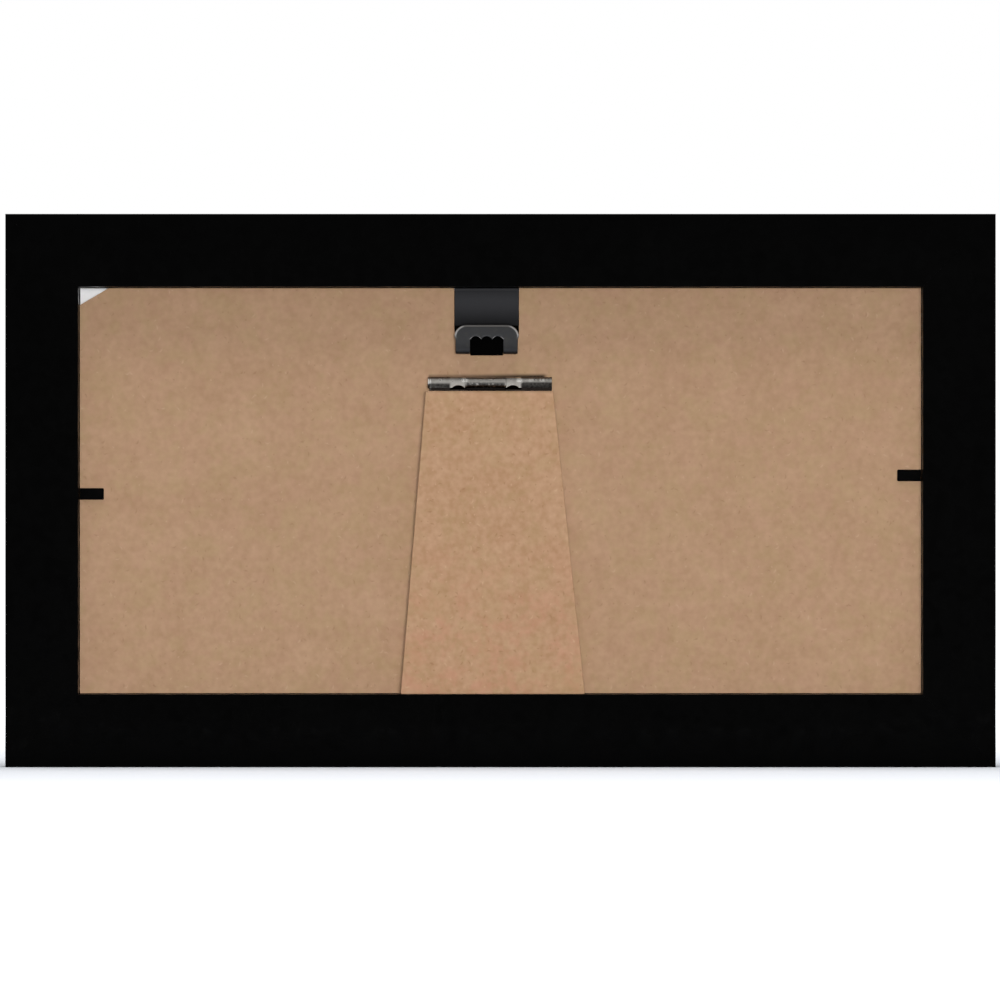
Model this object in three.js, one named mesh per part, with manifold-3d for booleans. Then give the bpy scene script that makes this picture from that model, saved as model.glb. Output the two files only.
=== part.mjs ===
// A certificate frame seen in the photograph from behind: a mitred black moulding that holds glass, a
// certificate and a backing board, with a steel hanger, a rolled hinge and an easel leg on the board.
// Millimetres. X runs across the frame, Y from the front (-) to the back (+), Z up.
// The frame stands on its lower edge. Left and right are named as someone facing its front sees them.

import * as THREE from 'three';
import { mergeVertices, toCreasedNormals } from 'three/addons/utils/BufferGeometryUtils.js';
import Module from 'manifold-3d';

// Moulding
const openingWidth = 305;
const openingHeight = 147.2;
const mouldingWidth = 26.3;
const mouldingDepth = 19;
const lipWidth = 6;
const lipThickness = 6;
const outerRounding = 2;
const sightBevel = 1.5;
const backChamfer = 0.5;
const mitreGap = 0.1;

// V-shaped steel nails that pull each mitre together
const vNailWing = 5;
const vNailSheet = 0.5;
const vNailHeight = 9;
const vNailHalfAngle = 50;
const vNailSetback = 0.8;
const vNailClearance = 0.1;
const vNailPlaces = { outer: 9, inner: 18 };

// Layers that lie in the rabbet
const insertClearance = 0.3;
const layerGap = 0.2;
const glassThickness = 2;
const glassSeam = 0.3;
const sheetThickness = 0.3;
const boardThickness = 3;
const boardCorner = { across: 10.8, down: 6.5 };

// Flexible points driven into the rabbet's side walls
const flexReach = 9;
const flexWidth = 4.2;
const flexSheet = 0.5;
const flexDrive = 6;
const flexTip = 2;
const flexClearance = 0.1;
const flexHeightLeft = 79.1;
const flexHeightRight = 72.4;

// Hanger: one steel strap folded over the board's top edge and up again into a flap
const hangerCentre = 5;
const hangerWidth = 23.4;
const hangerSheet = 0.9;
const hangerSeat = 0.1;
const hangerFrontLeg = 12;
const hangerDrop = 23.9;
const flapGap = 2.2;
const flapRise = 10.2;
const flapCorner = 3.9;
const flapBevel = 0.25;
const scallopCount = 3;
const scallopPitch = 3.97;
const scallopRise = 1.4;
const scallopHeight = 5;
const tongueDrop = 0.5;
const tongueSlit = 0.2;

// Hinge: two rolled leaves on one headed pin
const hingeDrop = 34.6;
const hingeRightEnd = 25.6;
const rightKnuckle = 12.8;
const middleKnuckle = 14.8;
const leftKnuckle = 16.6;
const knuckleGap = 0.15;
const pinRadius = 1;
const pinClearance = 0.1;
const pinHeadRadius = 2.1;
const pinHeadThickness = 0.5;
const pinChamfer = 0.2;
const boardLeafSheet = 1;
const boardLeafHeight = 22;
const boardLeafCorner = 2;
const leafSeat = 0.1;
const legLeafSheet = 0.5;
const middleFlare = 0.4;
const legLeafShoulder = 7.5;
const legLeafHeight = 16;
const legLeafShoulderTop = 1.6;
const legLeafCorner = 1.2;
const rollSeam = { from: 225, to: 245 };
const swingLimit = 45;
const stopClearance = 0.1;
const archWidth = 4.8;
const archRise = 1.2;
const crimpCount = 6;
const crimpPitch = 1.25;
const crimpWidth = 1;
const crimpDepth = 0.25;
const crimpInset = 1.2;
const clawWidth = 3;
const clawLength = 2.2;
const clawInset = 3;
const clawClearance = 0.1;

// Rivets that hold the hinge to the board
const rivetRadius = 1.2;
const rivetClearance = 0.1;
const rivetHeadRadius = 2.2;
const rivetHeadHeight = 0.4;
const rivetFlareHeight = 0.5;
const rivetDrop = 14;
const rivetInset = 8;

// Easel leg
const legThickness = 3;
const legTopWidth = 46;
const legFootWidth = 66.6;
const legTopCentre = 4;
const legFootCentre = 2.8;
const legTopDrop = 3.2;
const legSeat = 0.05;
const legFootClearance = 0.2;
const legEdge = 0.3;

// Places worked out from the sizes above
const outerWidth = openingWidth + 2 * mouldingWidth;
const outerHeight = openingHeight + 2 * mouldingWidth;
const openingBottom = mouldingWidth;
const openingTop = mouldingWidth + openingHeight;
const insertWidth = openingWidth - 2 * insertClearance;
const insertBottom = openingBottom + insertClearance;
const insertTop = openingTop - insertClearance;
const glassBack = lipThickness + layerGap + glassThickness;
const sheetBack = glassBack + layerGap + sheetThickness;
const boardFront = sheetBack + layerGap;
const boardBack = boardFront + boardThickness;

const hangerBack = boardBack + hangerSeat + hangerSheet;
const notchDepth = hangerSheet + hangerSeat;
const notchTop = insertTop - notchDepth;
const foldBottom = insertTop - hangerDrop;
const foldRadius = flapGap / 2 + hangerSheet;
const foldCentreY = hangerBack + flapGap / 2;
const foldCentreZ = foldBottom + foldRadius;
const flapFront = hangerBack + flapGap;
const flapBack = flapFront + hangerSheet;
const flapTop = foldBottom + flapRise;
const windowWidth = scallopCount * scallopPitch;

const boreRadius = pinRadius + pinClearance;
const boardKnuckleRadius = boreRadius + boardLeafSheet;
const legKnuckleRadius = boreRadius + legLeafSheet + middleFlare;
const hingeY = boardBack + leafSeat + boardKnuckleRadius;
const hingeZ = openingTop - hingeDrop;
const boardLeafBack = boardBack + leafSeat + boardLeafSheet;
const middleRight = hingeRightEnd - rightKnuckle;
const middleLeft = middleRight - middleKnuckle;
const hingeLeftEnd = middleLeft - leftKnuckle;
const stopAngle = THREE.MathUtils.degToRad(swingLimit) + stopClearance / boardKnuckleRadius;
const legFront = hingeY + legSeat;
const legLeafRight = middleRight + legLeafShoulder;
const legLeafLeft = middleLeft - legLeafShoulder;
const legTop = hingeZ - legTopDrop;
const legFoot = openingBottom + legFootClearance;

const overcut = 1;
const arcSteps = 8;
const domeSteps = 4;
const flareSteps = 8;
const turnSteps = 32;
const creaseAngle = THREE.MathUtils.degToRad(30);

const wasm = await Module();
wasm.setup();

const finish = {
  moulding: new THREE.MeshStandardMaterial({ color: 0x0a0a0b, roughness: 0.55, metalness: 0 }),
  vNail: new THREE.MeshStandardMaterial({ color: 0x2a2a2c, roughness: 0.5, metalness: 1 }),
  glass: new THREE.MeshStandardMaterial({
    color: 0xf2f6f5, roughness: 0.03, metalness: 0, transparent: true, opacity: 0.25,
  }),
  paper: new THREE.MeshStandardMaterial({ color: 0xf2efe6, roughness: 0.85, metalness: 0 }),
  board: new THREE.MeshStandardMaterial({ color: 0xad8a6c, roughness: 0.8, metalness: 0 }),
  leg: new THREE.MeshStandardMaterial({ color: 0xb68f71, roughness: 0.75, metalness: 0 }),
  blackSteel: new THREE.MeshStandardMaterial({ color: 0x2f2f31, roughness: 0.45, metalness: 0.6 }),
  nickel: new THREE.MeshStandardMaterial({ color: 0x9a9a96, roughness: 0.3, metalness: 1 }),
  flexSteel: new THREE.MeshStandardMaterial({ color: 0x0c0b0b, roughness: 0.5, metalness: 0.8 }),
};

// A closed three.js geometry as a solid that can be joined and cut.
function solidOf(geometry) {
  const bare = geometry.clone();
  bare.deleteAttribute('normal');
  bare.deleteAttribute('uv');
  const merged = mergeVertices(bare, 1e-4);
  return new wasm.Manifold(new wasm.Mesh({
    numProp: 3,
    vertProperties: merged.attributes.position.array,
    triVerts: new Uint32Array(merged.index.array),
  }));
}

function meshOf(name, solid, material) {
  const { numProp, vertProperties, triVerts } = solid.getMesh();
  const count = vertProperties.length / numProp;
  const position = new Float32Array(count * 3);
  for (let i = 0; i < count; i += 1) {
    position.set(vertProperties.subarray(i * numProp, i * numProp + 3), i * 3);
  }
  const geometry = new THREE.BufferGeometry();
  geometry.setAttribute('position', new THREE.BufferAttribute(position, 3));
  geometry.setIndex(new THREE.BufferAttribute(triVerts, 1));
  const mesh = new THREE.Mesh(toCreasedNormals(geometry, creaseAngle), material);
  mesh.name = name;
  return mesh;
}

// An outline drawn in X and Z, made solid between two depths in Y, with an optional chamfer on its edges.
function panel(outline, front, back, chamfer = 0) {
  const geometry = new THREE.ExtrudeGeometry(outline, {
    depth: back - front - 2 * chamfer,
    curveSegments: arcSteps,
    bevelEnabled: chamfer > 0,
    bevelThickness: chamfer,
    bevelSize: chamfer,
    bevelOffset: -chamfer,
    bevelSegments: 1,
  });
  geometry.rotateX(Math.PI / 2);
  geometry.translate(0, back - chamfer, 0);
  return solidOf(geometry);
}

// A section drawn in Y and Z, made solid between two places in X, with an optional chamfer on its ends.
function bar(section, left, right, chamfer = 0) {
  const geometry = new THREE.ExtrudeGeometry(section, {
    depth: right - left - 2 * chamfer,
    curveSegments: arcSteps,
    bevelEnabled: chamfer > 0,
    bevelThickness: chamfer,
    bevelSize: chamfer,
    bevelOffset: -chamfer,
    bevelSegments: 1,
  });
  geometry.applyMatrix4(new THREE.Matrix4().makeBasis(
    new THREE.Vector3(0, 1, 0),
    new THREE.Vector3(0, 0, 1),
    new THREE.Vector3(1, 0, 0),
  ));
  geometry.translate(left + chamfer, 0, 0);
  return solidOf(geometry);
}

// An outline drawn in X and Y, made solid between two heights.
function post(outline, bottom, top) {
  const geometry = new THREE.ExtrudeGeometry(outline, { depth: top - bottom, bevelEnabled: false });
  geometry.translate(0, 0, bottom);
  return solidOf(geometry);
}

// Radius of the arc that spans a chord and rises above its middle.
function arcRadius(chord, rise) {
  return (chord ** 2 / 4 + rise ** 2) / (2 * rise);
}

function outlineOf(points) {
  return new THREE.Shape(points.map(([x, z]) => new THREE.Vector2(x, z)));
}

function rectangle(left, bottom, right, top) {
  return outlineOf([[left, bottom], [right, bottom], [right, top], [left, top]]);
}

// A profile of [radius, height] pairs turned about an axis through the point, along X or along Y.
function turned(profile, axis, point) {
  const points = profile.map(([radius, height]) => new THREE.Vector2(radius, height));
  const geometry = new THREE.LatheGeometry(points, turnSteps);
  if (axis === 'x') {
    geometry.rotateZ(-Math.PI / 2);
  }
  geometry.translate(...point);
  return solidOf(geometry);
}

// Section of the moulding as [distance in from the outer face, depth from the front].
function mouldingSection() {
  const section = new THREE.Shape();
  const sightEdge = mouldingWidth + lipWidth;
  section.moveTo(outerRounding, 0);
  section.lineTo(sightEdge - sightBevel, 0);
  section.lineTo(sightEdge, sightBevel);
  section.lineTo(sightEdge, lipThickness);
  section.lineTo(mouldingWidth, lipThickness);
  section.lineTo(mouldingWidth, mouldingDepth - backChamfer / 2);
  section.lineTo(mouldingWidth - backChamfer / 2, mouldingDepth);
  section.lineTo(backChamfer, mouldingDepth);
  section.lineTo(0, mouldingDepth - backChamfer);
  section.lineTo(0, outerRounding);
  section.absarc(outerRounding, outerRounding, outerRounding, Math.PI, 1.5 * Math.PI, false);
  return section;
}

// One rail of the given outer length, lying on its outer face, with both ends cut at 45 degrees.
function railGeometry(length) {
  const geometry = new THREE.ExtrudeGeometry(mouldingSection(), {
    depth: length,
    curveSegments: arcSteps / 2,
    bevelEnabled: false,
  });
  const position = geometry.attributes.position;
  for (let i = 0; i < position.count; i += 1) {
    const inward = position.getX(i);
    const depth = position.getY(i);
    const end = position.getZ(i) > length / 2 ? -1 : 1;
    const reach = length / 2 - inward - mitreGap / 2;
    position.setXYZ(i, end * reach, depth, inward);
  }
  return geometry;
}

// Turns a rail about Y by a number of quarter turns and sets it round the opening's centre.
function placeRail(geometry, quarterTurns, distance) {
  const along = [[1, 0], [0, 1], [-1, 0], [0, -1]][quarterTurns];
  const inward = [-along[1], along[0]];
  geometry.applyMatrix4(new THREE.Matrix4().makeBasis(
    new THREE.Vector3(along[0], 0, along[1]),
    new THREE.Vector3(0, 1, 0),
    new THREE.Vector3(inward[0], 0, inward[1]),
  ));
  geometry.translate(-inward[0] * distance, 0, outerHeight / 2 - inward[1] * distance);
  return solidOf(geometry);
}

// Outline of a V-nail whose point lies on a mitre, with its wings towards the opening.
function vNailOutline(corner, place, clearance) {
  const point = new THREE.Vector2(
    corner.x * (outerWidth / 2 - place),
    outerHeight / 2 + corner.z * (outerHeight / 2 - place),
  );
  const inward = new THREE.Vector2(-corner.x, -corner.z).normalize();
  const spread = THREE.MathUtils.degToRad(vNailHalfAngle);
  const half = vNailSheet / 2 + clearance;
  const wing = vNailWing + clearance;
  const tip = (side, edge) => {
    const along = inward.clone().rotateAround(new THREE.Vector2(), side * spread);
    const across = new THREE.Vector2(-along.y, along.x).multiplyScalar(side * edge * half);
    return point.clone().addScaledVector(along, wing).add(across);
  };
  const reach = half / Math.sin(spread);
  return new THREE.Shape([
    point.clone().addScaledVector(inward, -reach),
    tip(-1, 1),
    tip(-1, -1),
    point.clone().addScaledVector(inward, reach),
    tip(1, -1),
    tip(1, 1),
  ]);
}

// Section of a flexible point's shank, from the rabbet wall into the wood, with a pointed end.
function flexTangOutline(side, height, clearance) {
  const wall = side * (openingWidth / 2);
  const half = flexWidth / 2 + clearance;
  const shoulder = wall + side * (flexDrive - flexTip);
  const tip = wall + side * (flexDrive + clearance);
  const start = wall - side * clearance;
  return outlineOf([
    [start, height - half], [shoulder, height - half], [tip, height],
    [shoulder, height + half], [start, height + half],
  ]);
}

const frameCorners = {
  lower_left: { x: -1, z: -1 },
  lower_right: { x: 1, z: -1 },
  upper_right: { x: 1, z: 1 },
  upper_left: { x: -1, z: 1 },
};
const flexPlaces = {
  left: { side: -1, height: openingBottom + flexHeightLeft },
  right: { side: 1, height: openingBottom + flexHeightRight },
};
const flexFront = boardBack + flexClearance;
const flexBack = flexFront + flexSheet;
const vNailBack = mouldingDepth - vNailSetback;
const vNailFront = vNailBack - vNailHeight;

function makeMoulding() {
  const rails = {
    rail_bottom: placeRail(railGeometry(outerWidth), 0, outerHeight / 2),
    rail_right: placeRail(railGeometry(outerHeight), 1, outerWidth / 2),
    rail_top: placeRail(railGeometry(outerWidth), 2, outerHeight / 2),
    rail_left: placeRail(railGeometry(outerHeight), 3, outerWidth / 2),
  };
  const railsAt = {
    lower_left: ['rail_bottom', 'rail_left'],
    lower_right: ['rail_bottom', 'rail_right'],
    upper_right: ['rail_top', 'rail_right'],
    upper_left: ['rail_top', 'rail_left'],
  };
  const meshes = [];
  for (const [cornerName, corner] of Object.entries(frameCorners)) {
    for (const [placeName, place] of Object.entries(vNailPlaces)) {
      const slot = panel(
        vNailOutline(corner, place, vNailClearance),
        vNailFront - vNailClearance,
        mouldingDepth + overcut,
      );
      for (const rail of railsAt[cornerName]) {
        rails[rail] = rails[rail].subtract(slot);
      }
      const nail = panel(vNailOutline(corner, place, 0), vNailFront, vNailBack);
      meshes.push(meshOf(`v_nail_${cornerName}_${placeName}`, nail, finish.vNail));
    }
  }
  for (const [name, { side, height }] of Object.entries(flexPlaces)) {
    const slot = panel(
      flexTangOutline(side, height, flexClearance),
      flexFront - flexClearance,
      flexBack + flexClearance,
    );
    rails[`rail_${name}`] = rails[`rail_${name}`].subtract(slot);
    const tang = panel(flexTangOutline(side, height, 0), flexFront, flexBack);
    meshes.push(meshOf(`flex_point_${name}_tang`, tang, finish.flexSteel));
  }
  for (const [name, rail] of Object.entries(rails)) {
    meshes.push(meshOf(name, rail, finish.moulding));
  }
  return meshes;
}

// The free ends of the flexible points, which lie over the board and bend up about the rabbet's wall.
function makeFlexTabs() {
  const root = flexSheet / 2 + flexClearance;
  return Object.entries(flexPlaces).map(([name, { side, height }]) => {
    const wall = side * (openingWidth / 2 - root);
    const end = side * (openingWidth / 2 - flexReach);
    const outline = rectangle(
      Math.min(wall, end), height - flexWidth / 2, Math.max(wall, end), height + flexWidth / 2,
    );
    return meshOf(`flex_point_${name}_tab`, panel(outline, flexFront, flexBack), finish.flexSteel);
  });
}

function makeGlassAndSheet() {
  const outline = rectangle(-insertWidth / 2, insertBottom, insertWidth / 2, insertTop);
  return [
    meshOf('glass', panel(outline, lipThickness + layerGap, glassBack, glassSeam), finish.glass),
    meshOf('certificate_sheet', panel(outline, sheetBack - sheetThickness, sheetBack), finish.paper),
  ];
}

const rivetPlaces = {
  left: hingeLeftEnd + rivetInset,
  right: hingeRightEnd - rivetInset,
};

// The fibreboard back, with one top corner clipped, a notch for the hanger and holes for the rivets.
function makeBoard() {
  const half = insertWidth / 2;
  const notchHalf = hangerWidth / 2 + hangerSeat;
  const clipped = openingTop - boardCorner.down;
  const clippedAcross = openingWidth / 2 - boardCorner.across;
  const outline = outlineOf([
    [-half, insertBottom], [half, insertBottom], [half, clipped], [clippedAcross, insertTop],
    [hangerCentre + notchHalf, insertTop], [hangerCentre + notchHalf, notchTop],
    [hangerCentre - notchHalf, notchTop], [hangerCentre - notchHalf, insertTop], [-half, insertTop],
  ]);
  const recess = panel(
    rectangle(
      hangerCentre - notchHalf, insertTop - hangerFrontLeg - hangerSeat,
      hangerCentre + notchHalf, insertTop + overcut,
    ),
    boardFront - overcut,
    boardFront + hangerSheet + 2 * hangerSeat,
  );
  let board = panel(outline, boardFront, boardBack).subtract(recess);
  const hole = rivetRadius + rivetClearance;
  const flare = rivetHeadRadius + rivetClearance;
  const flareDepth = rivetFlareHeight + 2 * rivetClearance;
  for (const x of Object.values(rivetPlaces)) {
    board = board.subtract(turned([
      [0, -overcut], [flare, -overcut], [flare, flareDepth], [hole, flareDepth],
      [hole, boardThickness + overcut], [0, boardThickness + overcut],
    ], 'y', [x, boardFront, hingeZ - rivetDrop]));
  }
  return meshOf('backing_board', board, finish.board);
}

// Lower outline of the flap's window: scallops that a nail's shank drops into, side by side.
function windowOutline(bottom) {
  const toothTop = foldBottom + scallopHeight;
  const radius = arcRadius(scallopPitch, scallopRise);
  const sweep = Math.asin(scallopPitch / 2 / radius);
  const left = hangerCentre - windowWidth / 2;
  const outline = new THREE.Shape();
  outline.moveTo(left, bottom);
  outline.lineTo(left + windowWidth, bottom);
  for (let i = scallopCount - 1; i >= 0; i -= 1) {
    const centre = left + (i + 0.5) * scallopPitch;
    outline.absarc(
      centre, toothTop + scallopRise - radius, radius, Math.PI / 2 - sweep, Math.PI / 2 + sweep, false,
    );
  }
  return outline;
}

// The flap as seen from behind: round upper corners, and a window whose scalloped top is open below.
function flapOutline() {
  const left = hangerCentre - hangerWidth / 2;
  const right = hangerCentre + hangerWidth / 2;
  const bottom = foldCentreZ - flapBevel;
  const corner = flapTop - flapCorner;
  const outline = new THREE.Shape();
  outline.moveTo(right, bottom);
  outline.lineTo(right, corner);
  outline.absarc(right - flapCorner, corner, flapCorner, 0, Math.PI / 2, false);
  outline.absarc(left + flapCorner, corner, flapCorner, Math.PI / 2, Math.PI, false);
  outline.lineTo(left, bottom);
  const inner = windowOutline(bottom).getPoints(arcSteps / 2).slice(1).reverse();
  outline.lineTo(hangerCentre - windowWidth / 2, bottom);
  for (const point of inner) {
    outline.lineTo(point.x, point.y);
  }
  return outline;
}

// The strap's side view: down the board's front, over its top edge and down the back to the fold.
function strapSection() {
  const outerBend = hangerSheet + hangerSeat;
  const frontFace = boardFront + hangerSeat;
  const topFace = notchTop + outerBend;
  const innerTop = notchTop;
  const backInner = boardBack;
  const section = new THREE.Shape();
  section.moveTo(frontFace, insertTop - hangerFrontLeg);
  section.lineTo(frontFace + hangerSheet, insertTop - hangerFrontLeg);
  section.lineTo(frontFace + hangerSheet, innerTop);
  section.absarc(frontFace + outerBend, innerTop, hangerSeat, Math.PI, Math.PI / 2, true);
  section.absarc(backInner, innerTop, hangerSeat, Math.PI / 2, 0, true);
  section.lineTo(backInner + hangerSeat, foldCentreZ);
  section.lineTo(hangerBack, foldCentreZ);
  section.lineTo(hangerBack, innerTop);
  section.absarc(backInner, innerTop, outerBend, 0, Math.PI / 2, false);
  section.lineTo(frontFace + outerBend, topFace);
  section.absarc(frontFace + outerBend, innerTop, outerBend, Math.PI / 2, Math.PI, false);
  return section;
}

// The fold's side view, which runs one sheet thickness up the strap and up the flap.
function foldSection() {
  const top = foldCentreZ + hangerSheet;
  const section = new THREE.Shape();
  section.moveTo(hangerBack - hangerSheet, top);
  section.lineTo(hangerBack - hangerSheet, foldCentreZ);
  section.absarc(foldCentreY, foldCentreZ, foldRadius, Math.PI, 2 * Math.PI, false);
  section.lineTo(flapBack, top);
  section.lineTo(flapFront, top);
  section.lineTo(flapFront, foldCentreZ);
  section.absarc(foldCentreY, foldCentreZ, flapGap / 2, 2 * Math.PI, Math.PI, true);
  section.lineTo(hangerBack, top);
  return section;
}

// The window is punched through the fold as well, and leaves a tongue that stays flat on the board.
function makeHanger() {
  const left = hangerCentre - hangerWidth / 2;
  const right = hangerCentre + hangerWidth / 2;
  const half = windowWidth / 2;
  const strap = bar(strapSection(), left, right, flapBevel);
  const foldLeft = bar(foldSection(), left, hangerCentre - half, flapBevel);
  const foldRight = bar(foldSection(), hangerCentre + half, right, flapBevel);
  const tongueHalf = half - tongueSlit;
  const tongue = panel(
    rectangle(
      hangerCentre - tongueHalf, foldBottom - tongueDrop, hangerCentre + tongueHalf, foldCentreZ + overcut,
    ),
    hangerBack - hangerSheet, hangerBack,
  );
  const flap = panel(flapOutline(), flapFront, flapBack, flapBevel);
  const hanger = strap.add(foldLeft).add(foldRight).add(tongue).add(flap);
  return meshOf('hanger_strap', hanger, finish.blackSteel);
}

// Side view of the board leaf: a plate that rolls over the pin and ends in the stop for the leg.
function boardLeafSection() {
  const outer = boardKnuckleRadius;
  const inner = boreRadius;
  const slope = Math.tan(stopAngle);
  const section = new THREE.Shape();
  const bottom = hingeZ - boardLeafHeight;
  section.moveTo(hingeY - outer, hingeZ);
  section.lineTo(hingeY - outer, bottom);
  section.lineTo(hingeY - inner, bottom);
  section.lineTo(hingeY - inner, hingeZ);
  section.absarc(hingeY, hingeZ, inner, Math.PI, 0, true);
  section.lineTo(hingeY + inner, hingeZ - inner / slope);
  section.lineTo(hingeY + outer, hingeZ - outer / slope);
  section.lineTo(hingeY + outer, hingeZ);
  section.absarc(hingeY, hingeZ, outer, 0, Math.PI, false);
  return section;
}

// Round-cornered outline of a leaf's plate, open to the knuckles above it.
function leafOutline(left, right, bottom, top, corner) {
  const outline = new THREE.Shape();
  outline.moveTo(left, top);
  outline.lineTo(left, bottom + corner);
  outline.absarc(left + corner, bottom + corner, corner, Math.PI, 1.5 * Math.PI, false);
  outline.absarc(right - corner, bottom + corner, corner, 1.5 * Math.PI, 2 * Math.PI, false);
  outline.lineTo(right, top);
  return outline;
}

// A V-shaped groove round the roll's upper half that runs on down the outside of its tail.
function crimpAt(x) {
  const floor = boardKnuckleRadius - crimpDepth;
  const rim = boardKnuckleRadius + crimpDepth;
  const left = x - crimpWidth;
  const right = x + crimpWidth;
  const profile = [[floor, 0], [rim, -crimpWidth], [rim, crimpWidth], [floor, 0]];
  const ring = turned(profile, 'x', [x, hingeY, hingeZ]);
  const upperHalf = post(rectangle(left, hingeY - rim, right, hingeY + rim), hingeZ, hingeZ + rim);
  const tailGroove = post(
    outlineOf([[x, hingeY + floor], [right, hingeY + rim], [left, hingeY + rim]]),
    hingeZ - boardLeafHeight,
    hingeZ,
  );
  return ring.intersect(upperHalf).add(tailGroove);
}

function makeBoardLeaf() {
  const knuckleTop = hingeZ + boardKnuckleRadius + overcut;
  const outline = leafOutline(
    hingeLeftEnd, hingeRightEnd, hingeZ - boardLeafHeight, knuckleTop, boardLeafCorner,
  );
  let leaf = bar(boardLeafSection(), hingeLeftEnd, hingeRightEnd)
    .intersect(panel(outline, boardBack, mouldingDepth));
  leaf = leaf.subtract(panel(
    rectangle(
      middleLeft - knuckleGap, hingeZ - legKnuckleRadius - 2 * knuckleGap,
      middleRight + knuckleGap, knuckleTop,
    ),
    boardBack, mouldingDepth,
  ));
  const tailEnd = hingeZ - boardKnuckleRadius / Math.tan(stopAngle);
  const radius = arcRadius(archWidth, archRise);
  const archReach = knuckleGap + archWidth / 2;
  for (const x of [middleRight + archReach, middleLeft - archReach]) {
    const arch = new THREE.Shape();
    arch.absarc(x, tailEnd + archRise - radius, radius, 0, 2 * Math.PI, false);
    leaf = leaf.subtract(panel(arch, hingeY, mouldingDepth));
  }
  for (let i = 0; i < crimpCount; i += 1) {
    leaf = leaf.subtract(crimpAt(hingeLeftEnd + crimpInset + i * crimpPitch));
  }
  const hole = rivetRadius + rivetClearance;
  for (const x of Object.values(rivetPlaces)) {
    leaf = leaf.subtract(turned([
      [0, -overcut], [hole, -overcut], [hole, boardLeafSheet + overcut], [0, boardLeafSheet + overcut],
    ], 'y', [x, boardLeafBack - boardLeafSheet, hingeZ - rivetDrop]));
  }
  return meshOf('hinge_board_leaf', leaf, finish.nickel);
}

// Corners of one claw in Y and Z: a tooth that stands up from the leaf's side edge.
function clawSection(centreZ, clearance) {
  const half = clawWidth / 2 + clearance;
  return outlineOf([
    [hingeY - legLeafSheet - clearance, centreZ - half],
    [hingeY + clawLength + clearance, centreZ],
    [hingeY - legLeafSheet - clearance, centreZ + half],
  ]);
}

const clawRows = [
  hingeZ - legLeafHeight + clawInset,
  hingeZ - legTopDrop - clawInset,
];
const clawSides = [
  [legLeafLeft, legLeafLeft + legLeafSheet],
  [legLeafRight - legLeafSheet, legLeafRight],
];

// Profile of the middle knuckle's surface as [radius, place]: drawn in at the middle, flared to its ends.
function flaredProfile(waistRadius, halfLength) {
  return Array.from({ length: flareSteps + 1 }, (_, i) => {
    const share = (2 * i) / flareSteps - 1;
    return [waistRadius + middleFlare * share ** 2, share * halfLength];
  });
}

// The leg leaf's plate and the middle knuckle that rolls up from it round the pin, open at its seam.
function makeLegLeaf() {
  const front = hingeY - legLeafSheet;
  const left = middleLeft + knuckleGap;
  const right = middleRight - knuckleGap;
  const half = (right - left) / 2;
  const centre = [(left + right) / 2, hingeY, hingeZ];
  const outer = flaredProfile(boreRadius + legLeafSheet, half);
  const inner = flaredProfile(boreRadius, half);
  const bore = turned([[0, -half], ...inner, [0, half]], 'x', centre);
  const [from, to] = [rollSeam.from, rollSeam.to].map(THREE.MathUtils.degToRad);
  const seam = bar(outlineOf([
    [hingeY, hingeZ],
    [hingeY + 2 * legKnuckleRadius * Math.cos(from), hingeZ + 2 * legKnuckleRadius * Math.sin(from)],
    [hingeY + 2 * legKnuckleRadius * Math.cos(to), hingeZ + 2 * legKnuckleRadius * Math.sin(to)],
  ]), left - overcut, right + overcut);
  const roll = turned([[0, -half], ...outer, [0, half]], 'x', centre).subtract(seam);
  const shoulderTop = hingeZ - legLeafShoulderTop;
  const plate = panel(
    leafOutline(legLeafLeft, legLeafRight, hingeZ - legLeafHeight, shoulderTop, legLeafCorner),
    front,
    hingeY,
  );
  const neck = panel(rectangle(left, shoulderTop - overcut, right, hingeZ - boreRadius), front, hingeY);
  let leaf = roll.add(neck).subtract(bore).add(plate);
  for (const centreZ of clawRows) {
    for (const [left, right] of clawSides) {
      leaf = leaf.add(bar(clawSection(centreZ, 0), left, right));
    }
  }
  return meshOf('hinge_leg_leaf', leaf, finish.nickel);
}

function makePin() {
  const length = hingeRightEnd - hingeLeftEnd;
  const head = length / 2 + knuckleGap;
  const headEnd = head + pinHeadThickness;
  const pin = turned([
    [0, -length / 2], [pinRadius - pinChamfer, -length / 2], [pinRadius, -length / 2 + pinChamfer],
    [pinRadius, head], [pinHeadRadius, head], [pinHeadRadius, headEnd - pinChamfer],
    [pinHeadRadius - pinChamfer, headEnd], [0, headEnd],
  ], 'x', [(hingeLeftEnd + hingeRightEnd) / 2, hingeY, hingeZ]);
  return meshOf('hinge_pin', pin, finish.nickel);
}

// Each rivet has a low head on the leaf and a flared end sunk in the board's front.
function makeRivets() {
  const headSeat = boardLeafBack - boardFront + rivetClearance / 2;
  const flareSeat = rivetFlareHeight + rivetClearance;
  const dome = Array.from({ length: domeSteps }, (_, i) => {
    const angle = (i / domeSteps) * (Math.PI / 2);
    return [rivetHeadRadius * Math.cos(angle), headSeat + rivetHeadHeight * Math.sin(angle)];
  });
  return Object.entries(rivetPlaces).map(([name, x]) => {
    const rivet = turned([
      [0, rivetClearance], [rivetHeadRadius, rivetClearance], [rivetRadius, flareSeat],
      [rivetRadius, headSeat], ...dome, [0, headSeat + rivetHeadHeight],
    ], 'y', [x, boardFront, hingeZ - rivetDrop]);
    return meshOf(`hinge_rivet_${name}`, rivet, finish.nickel);
  });
}

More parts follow.
